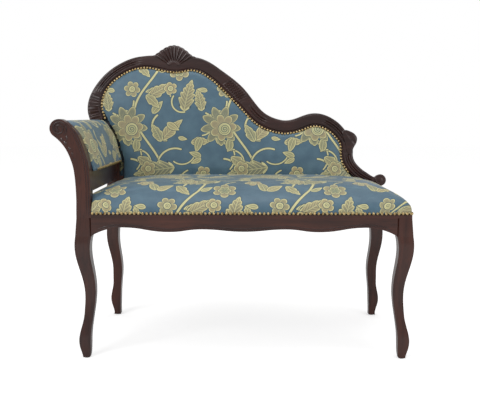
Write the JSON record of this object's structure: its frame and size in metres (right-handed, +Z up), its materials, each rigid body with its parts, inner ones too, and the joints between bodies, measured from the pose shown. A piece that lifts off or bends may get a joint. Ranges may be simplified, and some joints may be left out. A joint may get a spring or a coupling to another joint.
{
  "type": "fainting couch",
  "caption": "Small fainting couch with a raked serpentine back under a carved shell, one scrolled arm, a nailed sprung seat and cabriole legs.",
  "frame": {"origin": "on the floor under the middle of the bounding box", "axes": "+Z up, +Y to the back, +X away from the arm along the seat"},
  "size_m": [0.9816, 0.5109, 0.8981],
  "materials": {
    "show_wood": "dark red-brown mahogany stain under a glossy varnish",
    "inner_wood": "plain unfinished hardwood inside the frame",
    "cover_fabric": "steel-blue satin jacquard with a cream floral, over foam and wadding",
    "cushion_foam": "cut upholstery foam",
    "jute_webbing": "woven jute webbing",
    "deck_cloth": "thin black spun cloth",
    "outside_cloth": "the same jacquard stretched flat over card",
    "screw_steel": "zinc-plated steel",
    "glide_plastic": "moulded nylon glide"
  },
  "bodies": {
    "root": {"arm_lower_rail": "show_wood", "arm_outside_panel": "outside_cloth", "arm_pad": "cover_fabric", "arm_roll_rail": "inner_wood", "back_deck_cloth": "deck_cloth", "back_left_leg": "show_wood", "back_pad": "cover_fabric", "back_right_leg": "show_wood", "back_seat_rail": "show_wood", "back_webbing": "jute_webbing", "block_screws": "screw_steel", "corner_block_back_left": "inner_wood", "corner_block_back_right": "inner_wood", "corner_block_front_left": "inner_wood", "corner_block_front_right": "inner_wood", "crest_rail": "show_wood", "dowels": "inner_wood", "dust_cloth": "deck_cloth", "foot_glides": "glide_plastic", "front_left_leg_post": "show_wood", "front_rail": "show_wood", "front_right_leg": "show_wood", "left_side_rail": "show_wood", "lower_back_rail": "inner_wood", "outside_back_panel": "outside_cloth", "right_side_rail": "show_wood", "seat_brace": "inner_wood", "seat_cover": "cover_fabric", "seat_deck_cloth": "deck_cloth", "seat_foam": "cushion_foam", "seat_webbing_front_to_back": "jute_webbing", "seat_webbing_side_to_side": "jute_webbing", "sweep_rail": "show_wood"}
  },
  "joints": []
}
